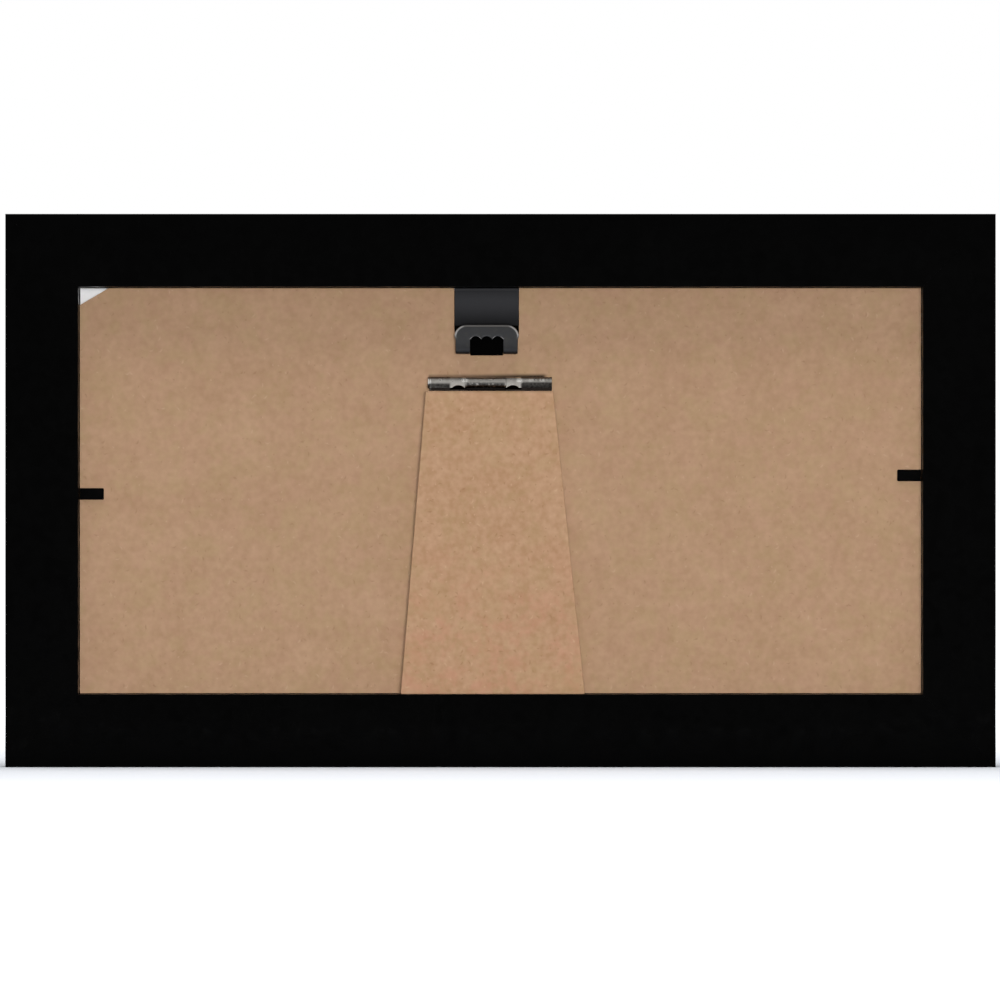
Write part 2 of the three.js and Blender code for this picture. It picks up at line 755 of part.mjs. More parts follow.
function makeLeg() {
  const outline = outlineOf([
    [legFootCentre - legFootWidth / 2, legFoot],
    [legFootCentre + legFootWidth / 2, legFoot],
    [legTopCentre + legTopWidth / 2, legTop],
    [legTopCentre - legTopWidth / 2, legTop],
  ]);
  let leg = panel(outline, legFront, legFront + legThickness, legEdge);
  for (const centreZ of clawRows) {
    for (const [left, right] of clawSides) {
      const slot = bar(clawSection(centreZ, clawClearance), left - clawClearance, right + clawClearance);
      leg = leg.subtract(slot);
    }
  }
  return meshOf('easel_leg', leg, finish.leg);
}

const frame = new THREE.Group();
frame.add(
  ...makeMoulding(),
  ...makeFlexTabs(),
  ...makeGlassAndSheet(),
  makeBoard(),
  makeHanger(),
  makeBoardLeaf(),
  makeLegLeaf(),
  makePin(),
  ...makeRivets(),
  makeLeg(),
);
frame.position.y = -mouldingDepth / 2;

export default frame;
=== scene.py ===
from functools import partial
from math import pi, radians, tan

import bmesh
import bpy
import numpy as np
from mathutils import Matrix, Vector


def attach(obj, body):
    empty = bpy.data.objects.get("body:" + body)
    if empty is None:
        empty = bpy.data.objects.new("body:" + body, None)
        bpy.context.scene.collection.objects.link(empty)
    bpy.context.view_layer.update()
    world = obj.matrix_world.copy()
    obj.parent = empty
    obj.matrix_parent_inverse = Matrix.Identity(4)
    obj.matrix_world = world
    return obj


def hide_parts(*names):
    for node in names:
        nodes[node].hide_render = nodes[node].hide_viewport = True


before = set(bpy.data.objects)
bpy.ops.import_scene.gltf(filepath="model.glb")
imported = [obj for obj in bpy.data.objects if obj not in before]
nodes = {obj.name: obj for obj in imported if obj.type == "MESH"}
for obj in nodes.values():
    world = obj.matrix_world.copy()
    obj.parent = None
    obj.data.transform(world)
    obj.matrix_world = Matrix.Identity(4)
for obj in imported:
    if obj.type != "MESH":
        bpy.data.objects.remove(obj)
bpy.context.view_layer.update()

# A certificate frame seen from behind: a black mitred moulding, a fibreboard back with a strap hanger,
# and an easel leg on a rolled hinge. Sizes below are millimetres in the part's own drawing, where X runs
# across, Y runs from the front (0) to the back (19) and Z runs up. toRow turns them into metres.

scene = bpy.context.scene

halfDepth = 9.5     # of the moulding, whose middle is the origin in Y
meshing = {"weld": 1e-7, "sharpFrom": 38, "flatFrom": 1.15}     # flatFrom is in rim widths off the edge


def toRow(points):
    # metres = (drawing millimetres - half the moulding's depth in Y) / 1000
    return (np.asarray(points, float) - (0, halfDepth, 0)) / 1000


def linear(colour):
    # sRGB hex to linear: ((c + 0.055) / 1.055) ^ 2.4, and c / 12.92 near black
    srgb = np.array([int(colour[i:i + 2], 16) / 255 for i in (1, 3, 5)])
    rgb = np.where(srgb < 0.04045, srgb / 12.92, ((srgb + 0.055) / 1.055) ** 2.4)
    return (*rgb.tolist(), 1.0)


def gridFaces(rows, columns, wrapColumns=False):
    # quads between neighbouring points of a grid numbered row by row
    number = np.arange(rows * columns).reshape(rows, columns)
    if wrapColumns:
        number = np.hstack([number, number[:, :1]])
    return np.stack([number[:-1, :-1], number[:-1, 1:], number[1:, 1:], number[1:, :-1]], -1).reshape(-1, 4)


def tube(rings):
    # a closed shell: rings of points joined to each other by quads, the first and the last filled in
    count, length = rings.shape[:2]
    ends = [np.arange(length), np.arange((count - 1) * length, count * length)]
    return rings.reshape(-1, 3), gridFaces(count, length, wrapColumns=True), ends


def addObject(name, data):
    made = bpy.data.objects.new(name, data)
    scene.collection.objects.link(made)
    return made


def addPiece(name, shells, slot, body, *replaced):
    # closed shells joined into one mesh in metres, with its doubles welded and its faces turned outwards
    points, faces, base = [], [], 0
    for shellPoints, quads, ends in shells:
        points.append(shellPoints)
        faces += (quads + base).tolist() + [(end + base).tolist() for end in ends]
        base += len(shellPoints)
    mesh = bpy.data.meshes.new(name)
    mesh.from_pydata(toRow(np.vstack(points)).tolist(), [], faces)
    work = bmesh.new()
    work.from_mesh(mesh)
    bmesh.ops.remove_doubles(work, verts=work.verts, dist=meshing["weld"])
    bmesh.ops.recalc_face_normals(work, faces=work.faces)
    work.to_mesh(mesh)
    work.free()
    mesh.shade_smooth()
    mesh.set_sharp_from_angle(angle=radians(meshing["sharpFrom"]))
    mesh.materials.append(finish[slot])
    piece = addObject(name, mesh)
    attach(piece, body)
    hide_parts(*replaced)


def roundedOutline(corners, radii, steps=6):
    # each corner of a closed polygon becomes an arc that touches both of its sides; its points swing from
    # the first touching point a to the second b as (sin((1 - t) s) a + sin(t s) b) / sin s about its centre
    corners = np.array(corners, float)
    runs = []
    for here, before, after, radius in zip(corners, np.roll(corners, 1, 0), np.roll(corners, -1, 0), radii):
        if radius == 0:
            runs.append(here[None])
            continue
        toBefore = (before - here) / np.linalg.norm(before - here)
        toAfter = (after - here) / np.linalg.norm(after - here)
        half = np.arccos(np.clip(toBefore @ toAfter, -1, 1)) / 2
        centre = here + (toBefore + toAfter) / np.linalg.norm(toBefore + toAfter) * radius / np.sin(half)
        start = here + toBefore * radius / np.tan(half) - centre
        end = here + toAfter * radius / np.tan(half) - centre
        share = np.linspace(0, 1, steps + 1)[:, None]
        sweep = pi - 2 * half
        swung = np.sin((1 - share) * sweep) * start + np.sin(share * sweep) * end
        runs.append(centre + swung / np.sin(sweep))
    return np.vstack(runs)


def insetStep(outline, moved=None):
    # how each point of an anticlockwise outline moves per millimetre of inset: to where its two sides
    # meet once they have moved inwards; a side whose moved is 0 stays
    side = np.roll(outline, -1, 0) - outline
    side /= np.linalg.norm(side, axis=1)[:, None]
    after = np.c_[-side[:, 1], side[:, 0]]
    before = np.roll(after, 1, 0)
    reachAfter = np.ones(len(outline)) if moved is None else moved
    reachBefore = np.roll(reachAfter, 1)
    cross = before[:, 0] * after[:, 1] - before[:, 1] * after[:, 0]
    parallel = np.abs(cross) < 1e-3     # sides that run on almost straight
    safe = np.where(parallel, 1, cross)
    across = (reachBefore * after[:, 1] - reachAfter * before[:, 1]) / safe
    up = (reachAfter * before[:, 0] - reachBefore * after[:, 0]) / safe
    onward = (before + after) / 2 * reachAfter[:, None]
    return np.where(parallel[:, None], onward, np.c_[across, up])


def plate(outline, front, back, radius, steps=4, moved=None, steep=(1, 1)):
    # a flat plate in X and Z whose edges are quarter rounds: where the surface has turned by a, the
    # outline is inset by r (1 - sin a) and lies r (1 - cos a) below the face; steep scales the depth at
    # the back and the whole round at the front
    radius = np.broadcast_to(np.asarray(radius, float), len(outline))
    turn = np.linspace(0, pi / 2, steps + 1)
    inset = np.r_[meshing["flatFrom"], 1 - np.sin(turn)]
    sunk = np.r_[0, 1 - np.cos(turn)]
    step = insetStep(outline, moved)
    rings = []
    for face, side, order, inwards, down in (
        (back, -1, slice(None), 1, steep[0]),
        (front, 1, slice(None, None, -1), steep[1], steep[1]),
    ):
        flat = outline[None] + step[None] * (inset[order, None] * radius[None] * inwards)[..., None]
        depth = face + side * sunk[order, None] * radius[None] * down
        rings.append(np.dstack([flat[..., 0], depth, flat[..., 1]]))
    return tube(np.vstack(rings))


def straight(start, end, facing, steps=1):
    # stations of a sheet's centreline as [Y, Z, way that its outer side faces], evenly from start to end
    share = np.linspace(0, 1, steps + 1)[:, None]
    places = np.array(start) + share * (np.array(end) - np.array(start))
    return np.c_[places, np.full(steps + 1, radians(facing))]


def bend(centre, radius, start, end, steps, inside=False):
    # the same on an arc, centre + radius * (cos, sin); inside when the outer side faces the centre
    turn = np.radians(np.linspace(start, end, steps + 1))
    facing = turn + pi if inside else turn
    return np.c_[centre[0] + radius * np.cos(turn), centre[1] + radius * np.sin(turn), facing]


def sheetSection(left, right, thickness, leftRim, rightRim, columns, steps=4):
    # section of a sheet as [X, distance off the centreline]: two flats, and at each end a rim of two
    # quarter ellipses; a rim is [width, depth on the outer side, depth on the inner side]
    turn = np.linspace(0, pi / 2, steps + 1)
    half = thickness / 2
    flatFrom = meshing["flatFrom"]
    inner = np.linspace(left + leftRim[0] * flatFrom, right - rightRim[0] * flatFrom, columns)
    flat = np.c_[inner, np.full(columns, half)]
    ends = []
    for edge, side, (width, outerDepth, innerDepth) in ((right, 1, rightRim), (left, -1, leftRim)):
        across = edge - side * width * (1 - np.sin(turn))
        outer = np.c_[across, half - outerDepth * (1 - np.cos(turn))]
        under = np.c_[across, innerDepth * (1 - np.cos(turn)) - half]
        ends.append(np.vstack([outer, under[::-1]]))
    return np.vstack([flat, ends[0], flat[::-1] * (1, -1), ends[1][::-1]])


def bentSheet(stations, section):
    # the section carried along the centreline: X stays, the distance off it goes the way it faces
    places, facing = stations[:, None, :2], stations[:, None, 2]
    off = section[None, :, 1]
    return np.dstack([
        np.broadcast_to(section[None, :, 0], (len(stations), len(section))),
        places[..., 0] + off * np.cos(facing),
        places[..., 1] + off * np.sin(facing),
    ])


def turned(profile, centre, axis, steps=48):
    # a profile of [radius, height] turned about an axis through the centre, along X or Y
    turn = np.linspace(0, 2 * pi, steps, endpoint=False)
    radius, height = np.array(profile, float).T
    one = radius[:, None] * np.cos(turn)[None]
    two = radius[:, None] * np.sin(turn)[None]
    along = np.broadcast_to(height[:, None], one.shape)
    rings = np.dstack([along, one, two] if axis == "x" else [one, along, two])
    return tube(rings + np.array(centre))


def feed(tree, socket, value):
    # a node stands for its first shown output, and a hex string for a colour
    if isinstance(value, bpy.types.Node):
        value = next(output for output in value.outputs if output.enabled)
    if isinstance(value, bpy.types.NodeSocket):
        tree.links.new(value, socket)
    else:
        socket.default_value = linear(value) if isinstance(value, str) else value


def addNode(tree, kind, *inputs, **named):
    # one node with its settings and links: inputs go to the sockets that it shows, in their order; a name
    # with a capital is a socket, any other a setting
    made = tree.nodes.new("ShaderNode" + kind)
    for name, value in named.items():
        if name[0].islower():
            setattr(made, name, value)
    shown = [socket for socket in made.inputs if socket.enabled]
    for socket, value in zip(shown, inputs):
        feed(tree, socket, value)
    for name, value in named.items():
        if name[0].isupper():
            feed(tree, made.inputs[name.replace("_", " ")], value)
    return made


def emptyTree(owner):
    # clears the nodes of a material or world and gives the way to add new ones
    owner.use_nodes = True
    owner.node_tree.nodes.clear()
    return partial(addNode, owner.node_tree)


def newMaterial(name):
    # a material, the way to add nodes to it, and its Object coordinates in millimetres
    material = bpy.data.materials.new(name)
    node = emptyTree(material)
    return material, node, node("Mapping", node("TexCoord").outputs["Object"], Scale=(1000, 1000, 1000))


# settings that make a Mix node mix colours and a Math node do one sum
colours = {"data_type": "RGBA"}
times, minus, larger, below, absolute = (
    {"operation": name} for name in ("MULTIPLY", "SUBTRACT", "MAXIMUM", "LESS_THAN", "ABSOLUTE"))


def patches(node, place, size, low, high, top=1.0, detail=3.0, rough=0.5, shift=(0, 0, 0),
            stretch=(1, 1, 1)):
    # 0 to top where noise with patches of a real size in millimetres rises from low to high
    where = node("Mapping", place, shift, Scale=stretch)
    return node("MapRange", node("TexNoise", where, 1 / size, detail, rough), low, high, 0.0, top)


def apart(node, value, place):
    # how far a value is from a place, on either side of it
    return node("Math", node("Math", value, place, **minus), **absolute)


def ramp(node, value, low, high, bottom=0.0, top=1.0):
    # bottom to top in a smooth S while a value goes from low to high
    return node("MapRange", value, low, high, bottom, top, interpolation_type="SMOOTHSTEP")


blackPaint = {
    "colour": "#020202", "dustAndShade": "#030303", "cloud": 14, "pore": 0.9, "relief": 0.006, "gloss": 0.02,
}


def makeBlackPaint():
    # sprayed black lacquer on wood: very dark and matt, with pores that still show a little of the grain
    material, node, place = newMaterial("black_sprayed_lacquer")
    look = blackPaint
    dustAndShadeShare = patches(node, place, look["cloud"], 0.45, 0.8)
    colour = node("Mix", dustAndShadeShare, look["colour"], look["dustAndShade"], **colours)
    pores = patches(node, place, look["pore"], 0.35, 0.7)
    node("OutputMaterial", node(
        "BsdfPrincipled", Base_Color=colour, Specular_IOR_Level=look["gloss"],
        Roughness=patches(node, place, 5, 0.3, 0.9, 0.75),
        Normal=node("Bump", Strength=0.5, Distance=look["relief"] / 1000, Height=pores)))
    return material


board = {
    "light": "#b9977a", "dark": "#a88669", "pink": "#bb8a7c", "olive": "#a69364", "tints": (0.1, 0.2),
    "patch": 9, "patchFrom": (0.46, 0.62), "pinkGrows": (120, 50, 1.0, 1.0),
    "clouds": 22, "felt": 2.7, "feltShare": 0.6, "relief": 0.02,
    "fibreDark": "#9a775c", "fibreLight": "#c2a389", "fibres": 0.55, "chance": (0.1, 0.94),
    "marks": ((4.2, 1.3, 0.42, 0.3), (2.7, 0.6, 0.36, -0.4)),     # spacing, length, width, bow
    # the dark colour below and its reach along the hinge give painted shade
    "stainAndShade": "#17110d", "hingeShadeUp": (142.4, 140.9), "hingeShadeAlong": (22, -13, 0.62, 0.95),
    "hingeShadeRise": 0.2, "hingeShadeEnds": ((-17.4, -15.2), (26.4, 25.6)), "hingeShadeAbove": 134.0,
}
legBoard = {     # as the board, apart from these
    **board,
    "light": "#c19c7e", "dark": "#ab8564", "pink": "#c58a74", "olive": "#aa9468", "tints": (0.17, 0.22),
    "pinkGrows": (92, 42, 0.1, 2.0), "clouds": 20, "felt": 2.4, "feltShare": 0.66, "relief": 0.025,
    "fibreDark": "#9c7656", "fibreLight": "#c9a688", "fibres": 0.6, "chance": (0.14, 0.92),
    # painted shade on the leg's upper edge, under the hinge
    "hingeShadeUp": (135.0, 135.9), "hingeShadeAlong": (22, -13, 0.4, 0.4), "hingeShadeRise": 0, "hingeShadeEnds": (),
}


def fibreMarks(node, place, spacing, length, width, bow):
    # one short bowed fibre in each cell of a pattern spaced in millimetres: the way from the cell's middle
    # is turned by the cell's own angle, and the fibre fades out to where (along / length)^2 +
    # ((across - bow * along^2) / width)^2 = 1; the second value is the cell's own chance
    split = node("SeparateXYZ", place)
    wavy = node("TexNoise", place, 0.8, 1.0)
    flat = node("CombineXYZ", split.outputs["X"], node("Math", split.outputs["Z"], wavy, operation="ADD"))
    cell = node("TexVoronoi", flat, 1 / spacing, voronoi_dimensions="2D")
    chance = node("SeparateColor", cell.outputs["Color"])
    away = node("VectorMath", flat, cell.outputs["Position"], **minus)
    angle = node("Math", chance.outputs["Red"], pi, **times)
    turnedAway = node("SeparateXYZ", node("VectorRotate", away, Angle=angle, rotation_type="Z_AXIS"))
    along, across = turnedAway.outputs["X"], turnedAway.outputs["Y"]
    squared = node("Math", along, along, **times)
    bowed = node("Math", squared, -bow, across, operation="MULTIPLY_ADD")
    reach = node("VectorMath", node("CombineXYZ", along, bowed), (1 / length, 1 / width, 0), **times)
    mark = ramp(node, node("VectorMath", reach, operation="LENGTH"), 1.0, 0.1)
    return mark, chance.outputs["Green"]


def makeFibreboard(name, look):
    # pressed fibreboard: wide soft clouds under a felt of short pulp, patches where the pulp was pinker
    # or more olive, pinker still towards the leg's foot, and single fibres dark or pale on the matt face
    material, node, place = newMaterial(name)
    clouds = patches(node, place, look["clouds"], 0.3, 0.7, 1.0, 2.0, 0.9)
    felt = patches(node, place, look["felt"], 0.3, 0.7, 1.0, 1.6, 0.7, (17, 5, 29))
    mottle = node("Mix", look["feltShare"], clouds, felt)
    colour = node("Mix", mottle, look["dark"], look["light"], **colours)
    split = node("SeparateXYZ", place)
    x, z = split.outputs["X"], split.outputs["Z"]
    growth = ramp(node, z, *look["pinkGrows"])
    pinkShare, oliveShare = look["tints"]
    pinker = patches(node, place, look["patch"], *look["patchFrom"], pinkShare, 3.0, 0.75)
    pinker = node("Math", pinker, growth, **times)
    olive = patches(node, place, look["patch"], *look["patchFrom"], oliveShare, 3.0, 0.75, (71, 13, 39))
    for share, tint in ((pinker, "pink"), (olive, "olive")):
        colour = node("Mix", share, colour, look[tint], **colours)
    relief = felt
    few, most = look["chance"]
    for sizes in look["marks"]:
        mark, chance = fibreMarks(node, place, *sizes)
        for tint, test, limit in (("fibreDark", "LESS_THAN", few), ("fibreLight", "GREATER_THAN", most)):
            chosen = node("Math", chance, limit, operation=test)
            shown = node("Math", node("Math", mark, chosen, **times), look["fibres"], **times)
            colour = node("Mix", shown, colour, look[tint], **colours)
            relief = node("Math", shown, relief, operation="ADD")
    # painted shade of the hinge's barrel: along its top on the board, and on the leg's upper edge just under
    # it
    low, high, least, deepest = look["hingeShadeAlong"]
    risen = node("Math", z, ramp(node, x, low, high, 0.0, look["hingeShadeRise"]), **minus)
    paintedShade = node("Math", ramp(node, risen, *look["hingeShadeUp"]), ramp(node, x, low, high, least, deepest), **times)
    for end in look["hingeShadeEnds"]:
        paintedShade = node("Math", paintedShade, ramp(node, x, *end), **times)
    nearHinge = node("Math", z, look["hingeShadeAbove"], operation="GREATER_THAN")
    paintedShade = node("Math", paintedShade, nearHinge, **times)
    colour = node("Mix", paintedShade, colour, look["stainAndShade"], **colours)
    node("OutputMaterial", node(
        "BsdfPrincipled", Base_Color=colour, Roughness=0.82, Specular_IOR_Level=0.25,
        Normal=node("Bump", Strength=0.5, Distance=look["relief"] / 1000, Height=relief)))
    return material


# besides the steel's own tones, these colours hold painted highlight on the rims and painted shade on the
# strap and towards the fold
blackSteel = {
    "face": "#444445", "rubbedAndGlints": "#4a4947", "low": "#2f2f31", "lowFrom": (154.0, 149.2), "rim": "#827f7c",
    "rimHighlight": "#c0bebc", "middle": 5.0, "cornerFrom": (7.6, 9.4), "rimUp": (154.4, 156.6),
    "scallops": (157.3, 156.6), "window": (6.6, 6.2), "middleScallop": (1.7, 2.1),
    "shoulder": (0.12, 0.4), "shoulderUp": (154.3, 154.9), "tilt": (0.998, 0.97),
    "strap": "#3d3d3f", "topStrap": "#3c3c3e", "paintedShade": "#050505", "strapBack": 4.0, "covered": 159.6,
    "shade": (159.4, 168.5), "shadeDepth": 0.62, "top": (172.1, 172.6), "roughness": (0.36, 0.46),
}


def makeBlackSteel():
    # blued steel strip: satin, lighter where the flap is rubbed, with painted shade towards its fold; the
    # punched rims are bare and lighter, partly as a painted highlight, with painted highlights brightest at
    # the corners and round the scallops; the strap behind is painted a shade darker, with painted shade
    # towards the flap's top and black in the window, and matt over the board's top
    material, node, place = newMaterial("blued_strip_steel")
    look = blackSteel
    split = node("SeparateXYZ", place)
    x, y, z = (split.outputs[axis] for axis in "XYZ")
    facing = node("SeparateXYZ", node("NewGeometry").outputs["Normal"])
    rubbedAndGlints = patches(node, place, 2.4, 0.5, 0.75, 1.0, 5.0)
    flap = node("Mix", rubbedAndGlints, look["face"], look["rubbedAndGlints"], **colours)
    # painted shade: the flap darker towards its fold
    flap = node("Mix", ramp(node, z, *look["lowFrom"]), flap, look["low"], **colours)
    # the rims: lighter bare steel where the surface turns from the face, partly a painted highlight, with
    # painted highlights at the top corners and on the scallops' shoulders
    away = apart(node, x, look["middle"])
    tilted = ramp(node, node("Math", facing.outputs["Y"], **absolute), *look["tilt"])
    rimUp = ramp(node, z, *look["rimUp"])
    onScallop = node("Math", ramp(node, z, *look["scallops"]), ramp(node, away, *look["window"]), **times)
    sideways = ramp(node, node("Math", facing.outputs["X"], **absolute), *look["shoulder"])
    shoulder = node("Math", sideways, ramp(node, away, *look["middleScallop"]), **times)
    scallopHighlight = node("Math", node("Math", onScallop, shoulder, **times),
                       ramp(node, z, *look["shoulderUp"]), **times)
    onRim = node("Math", node("Math", rimUp, onScallop, use_clamp=True, **minus), scallopHighlight, **larger)
    onCorner = node("Math", ramp(node, away, *look["cornerFrom"]), rimUp, **times)
    highlighted = node("Math", onCorner, scallopHighlight, **larger)
    rim = node("Mix", highlighted, look["rim"], look["rimHighlight"], **colours)
    flap = node("Mix", node("Math", tilted, onRim, **times), flap, rim, **colours)
    # painted shade on the strap behind: a shade darker than the flap, darker still towards the flap's top,
    # and black below it, which shows in the window
    covered = node("Math", z, look["covered"], **below)
    low, high = look["shade"]
    strapShade = node("Math", ramp(node, z, low, high, look["shadeDepth"], 0.0), covered, **larger)
    strap = node("Mix", strapShade, look["strap"], look["paintedShade"], **colours)
    strap = node("Mix", ramp(node, z, *look["top"]), strap, look["topStrap"], **colours)
    behind = node("Math", y, look["strapBack"], **below)
    satin = patches(node, place, 1.5, 0.3, 0.7)
    node("OutputMaterial", node(
        "BsdfPrincipled", Base_Color=node("Mix", behind, flap, strap, **colours),
        Metallic=ramp(node, z, *look["top"], 1.0, 0.0),
        Roughness=node("MapRange", satin, 0.0, 1.0, *look["roughness"]),
        Normal=node("Bump", Strength=0.4, Distance=0.000004, Height=patches(node, place, 0.35, 0.3, 0.7))))
    return material


springSteel = {"oxide": "#020202", "handled": "#050404", "gloss": 0.03, "roughness": (0.45, 0.6)}


def makeSpringSteel():
    # spring steel of the flexible points with a dead black oxide, a trace of brown where it is handled
    material, node, place = newMaterial("black_oxide_spring_steel")
    look = springSteel
    handled = patches(node, place, 2.4, 0.5, 0.75, 1.0, 5.0)
    satin = patches(node, place, 1.5, 0.3, 0.7)
    node("OutputMaterial", node(
        "BsdfPrincipled", Base_Color=node("Mix", handled, look["oxide"], look["handled"], **colours),
        Specular_IOR_Level=look["gloss"], Roughness=node("MapRange", satin, 0.0, 1.0, *look["roughness"]),
        Normal=node("Bump", Strength=0.6, Distance=0.000008, Height=patches(node, place, 0.35, 0.3, 0.7))))
    return material


# apart from the base colour and its darker tone, these colours are painted highlight and painted shade
nickel = {
    "colour": "#c6c2bb", "stainAndShade": "#b3aea7", "bright": "#fdfaf4", "lowShade": "#2f2d2b", "dustAndShade": "#32231a",
    "paintedShade": "#060403", "gapShade": "#3d3733", "axis": (4.6, 138.9), "arches": (15.35, -4.55),
    "archHalf": (3.3, 2.4), "archEdge": (0.05, 0.35), "insideArch": (-0.5, 1.35), "archBottom": 136.45,
    "lowShadeFrom": (0.35, -0.75), "topShadeFrom": (1.15, 1.75), "topShadeShare": 0.92, "topShadeOnArch": 0.55,
    "crimpedFrom": (-7.2, -8.4), "climb": 0.45, "deepFrom": (-0.6, -1.9), "deep": 0.65,
    "middleKnuckle": (5.4, 8.0, 6.6), "middleClimb": 0.3, "gapShadeMiddle": "#201c1a",
    "gap": 137.1, "gapEnd": 25.1, "bore": 1.25, "shaftEnd": 25.6,
    "lips": (12.9, -6.8), "lipHalf": (1.5, 0.2), "lipUp": (0.0, 0.4),
    "rubbedAndGlints": (-11.0, -15.2), "glintHalf": (1.4, 0.2), "glintUp": (0.0, 0.6, 0.0, 0.5),
    "crimpEnd": -11.2, "firstCrimp": -17.4, "crimpPitch": 1.25, "groove": (0.45, 0.05, 0.0, 0.25),
    "roughness": (0.27, 0.34),
}


def makeNickel():
    # dull nickel on rolled steel: clean on the roll's crown and round the arches, with painted shade below
    # the crown and in the crimped end's grooves, along the top, on the crimped end's underside, inside the
    # arches and the bore, and in the gap over the leg; painted highlights on the arches' lips, two spots of
    # the crimped end and the pin's head
    material, node, place = newMaterial("dull_nickel_plated_steel")
    look = nickel
    split = node("SeparateXYZ", place)
    x, z = split.outputs["X"], split.outputs["Z"]
    axisY, axisZ = look["axis"]
    above = node("Math", z, axisZ, **minus)
    outwards = node("Math", split.outputs["Y"], axisY, **minus)

    def nearest(middles, far, near):
        # 1 near the closer of two places along X, 0 away from both
        ways = [apart(node, x, middle) for middle in middles]
        return ramp(node, node("Math", *ways, operation="MINIMUM"), far, near)

    # near the arches, where the painted shade below the crown and along the top is less
    nearArches = nearest(look["arches"], *look["archHalf"])
    offArches = node("Math", 1.0, nearArches, **minus)
    clouds = patches(node, place, 2.2, 0.35, 0.7, 1.0, 3.0)
    colour = node("Mix", clouds, look["colour"], look["stainAndShade"], **colours)
    # painted highlights on the lips of the arches, on two spots of the crimped end and on the pin's head
    lips = node("Math", nearest(look["lips"], *look["lipHalf"]), ramp(node, above, *look["lipUp"]), **times)
    rubbedAndGlints = node("Math", nearest(look["rubbedAndGlints"], *look["glintHalf"]), ramp(node, above, *look["glintUp"]),
                  **times)
    lips = node("Math", lips, rubbedAndGlints, **larger)
    head = node("Math", x, look["gapEnd"], operation="GREATER_THAN")
    # painted shade below the roll's crown: it starts lowest on the plain ends, higher on the middle knuckle
    # and on the crimped end; specks break it up, and it also fills the crimped end's grooves
    onCrimps = ramp(node, x, *look["crimpedFrom"])
    climb = node("Math", onCrimps, look["climb"], **times)
    middle, far, near = look["middleKnuckle"]
    onMiddle = ramp(node, apart(node, x, middle), far, near)
    climb = node("Math", onMiddle, look["middleClimb"], climb, operation="MULTIPLY_ADD")
    lowered = node("Math", above, climb, **minus)
    fine = patches(node, place, 0.8, 0.35, 0.62, 0.1, 3.0)
    coarse = patches(node, place, 1.1, 0.56, 0.66, 0.55, 2.0, 0.5, (11, 3, 7))
    specks = node("Math", fine, node("Math", coarse, onMiddle, **times), operation="ADD")
    cover = node("Math", 1.0, specks, **minus)
    lowShaded = node("Math", ramp(node, lowered, *look["lowShadeFrom"]), cover, **times)
    toCrimp = node("Math", node("Math", x, look["firstCrimp"], **minus),
                   look["crimpPitch"] / 2, operation="PINGPONG")
    groove = node("Math", ramp(node, toCrimp, *look["groove"]),
                  node("Math", x, look["crimpEnd"], **below), **times)
    lowShaded = node("Math", node("Math", lowShaded, offArches, **times), groove, **larger)
    # painted shade on the crimped end's underside
    under = node("Math", ramp(node, above, *look["deepFrom"], 0.0, look["deep"]), onCrimps, **times)
    # painted shade along the roll's top
    dustAndShadeShare = node("Math", ramp(node, above, *look["topShadeFrom"], 0.0, look["topShadeShare"]),
                 ramp(node, nearArches, 0.0, 1.0, 1.0, look["topShadeOnArch"]), **times)
    # painted shade in the gap between the roll's end and the leg
    inGap = node("Math", node("Math", z, look["gap"], **below),
                 node("Math", x, look["gapEnd"], **below), **times)
    # painted shade inside the arches and in the bore round the pin
    low, depth = look["insideArch"]
    arch = node("Math", node("Math", above, low, **below), node("Math", outwards, depth, **below), **times)
    arch = node("Math", arch, ramp(node, nearArches, *look["archEdge"]), **times)
    overBottom = node("Math", z, look["archBottom"], operation="GREATER_THAN")
    arch = node("Math", arch, overBottom, **times)
    fromAxis = node("VectorMath", node("CombineXYZ", above, outwards), operation="LENGTH")
    shaft = node("Math", node("Math", fromAxis, look["bore"], **below),
                 node("Math", x, look["shaftEnd"], **below), **times)
    gapShade = node("Mix", onMiddle, look["gapShade"], look["gapShadeMiddle"], **colours)
    for share, tint in ((node("Math", lips, head, **larger), look["bright"]), (lowShaded, look["lowShade"]),
                        (under, look["paintedShade"]), (dustAndShadeShare, look["dustAndShade"]), (inGap, gapShade),
                        (node("Math", arch, shaft, **larger), look["paintedShade"])):
        colour = node("Mix", share, colour, tint, **colours)
    lines = patches(node, place, 0.6, 0.3, 0.7, 1.0, 2.0, 0.5, (0, 0, 0), (0.15, 1, 1))
    node("OutputMaterial", node(
        "BsdfPrincipled", Base_Color=colour, Metallic=1.0,
        Roughness=node("MapRange", clouds, 0.0, 1.0, *look["roughness"]),
        Normal=node("Bump", Strength=0.3, Distance=0.000003, Height=lines)))
    return material


nailSteel = {"line": "#55565a", "bright": "#6b6c70", "roughness": (0.35, 0.5)}


def makeNailSteel():
    # bright cold-rolled steel of the V-nails, with fine rolling lines
    material, node, place = newMaterial("cold_rolled_nail_steel")
    look = nailSteel
    lines = patches(node, place, 0.4, 0.3, 0.7, 1.0, 2.0, 0.5, (0, 0, 0), (1, 0.15, 1))
    node("OutputMaterial", node(
        "BsdfPrincipled", Base_Color=node("Mix", lines, look["line"], look["bright"], **colours),
        Metallic=1.0, Roughness=node("MapRange", lines, 0.0, 1.0, *look["roughness"])))
    return material


glass = {"clear": "#fbfdfc", "greener": "#f8fbfa", "cloud": 60, "ior": 1.52}


